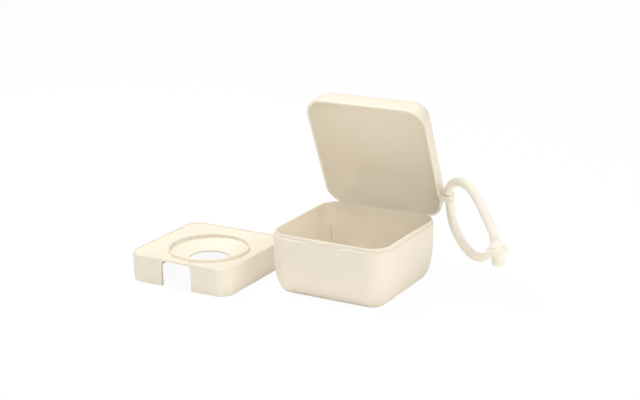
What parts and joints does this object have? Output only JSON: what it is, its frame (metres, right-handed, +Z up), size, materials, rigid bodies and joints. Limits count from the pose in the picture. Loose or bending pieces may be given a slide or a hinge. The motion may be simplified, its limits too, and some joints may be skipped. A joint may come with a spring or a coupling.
{
  "type": "pacifier box",
  "caption": "Square hinged soother box with an open lid, a loose inner soother tray and a buttoned silicone hanging strap.",
  "frame": {"origin": "centre of the flat underside of the tub", "axes": "+X to the side with the strap, +Y to the hinge at the back, +Z up"},
  "size_m": [0.2051, 0.1089, 0.104],
  "materials": {
    "box_plastic": "satin ivory polypropylene",
    "tray_plastic": "satin ivory polypropylene",
    "silicone": "soft matte ivory silicone",
    "pin_steel": "drawn wire"
  },
  "bodies": {
    "base": {"base_tub": "box_plastic", "hinge_pin": "pin_steel"},
    "lid": {"lid": "box_plastic"},
    "strap": {"strap": "silicone"},
    "tray": {"soother_tray": "tray_plastic"}
  },
  "joints": [
    {"name": "lid_hinge", "type": "hinge", "parent": "base", "child": "lid", "pos_m": [0, 0.038, 0.0322], "axis": [-1, 0, 0], "range_deg": [-66.1, 43.9]},
    {"name": "strap_swivel", "type": "hinge", "parent": "lid", "child": "strap", "pos_m": [0.04175, 0.03614, 0.048], "axis": [0, -0.4051, 0.9143], "range_deg": [-35, 90]},
    {"name": "tray_lift", "type": "slide", "parent": "base", "child": "tray", "axis": [0, 0, 1], "range_m": [0, 0.08]}
  ]
}
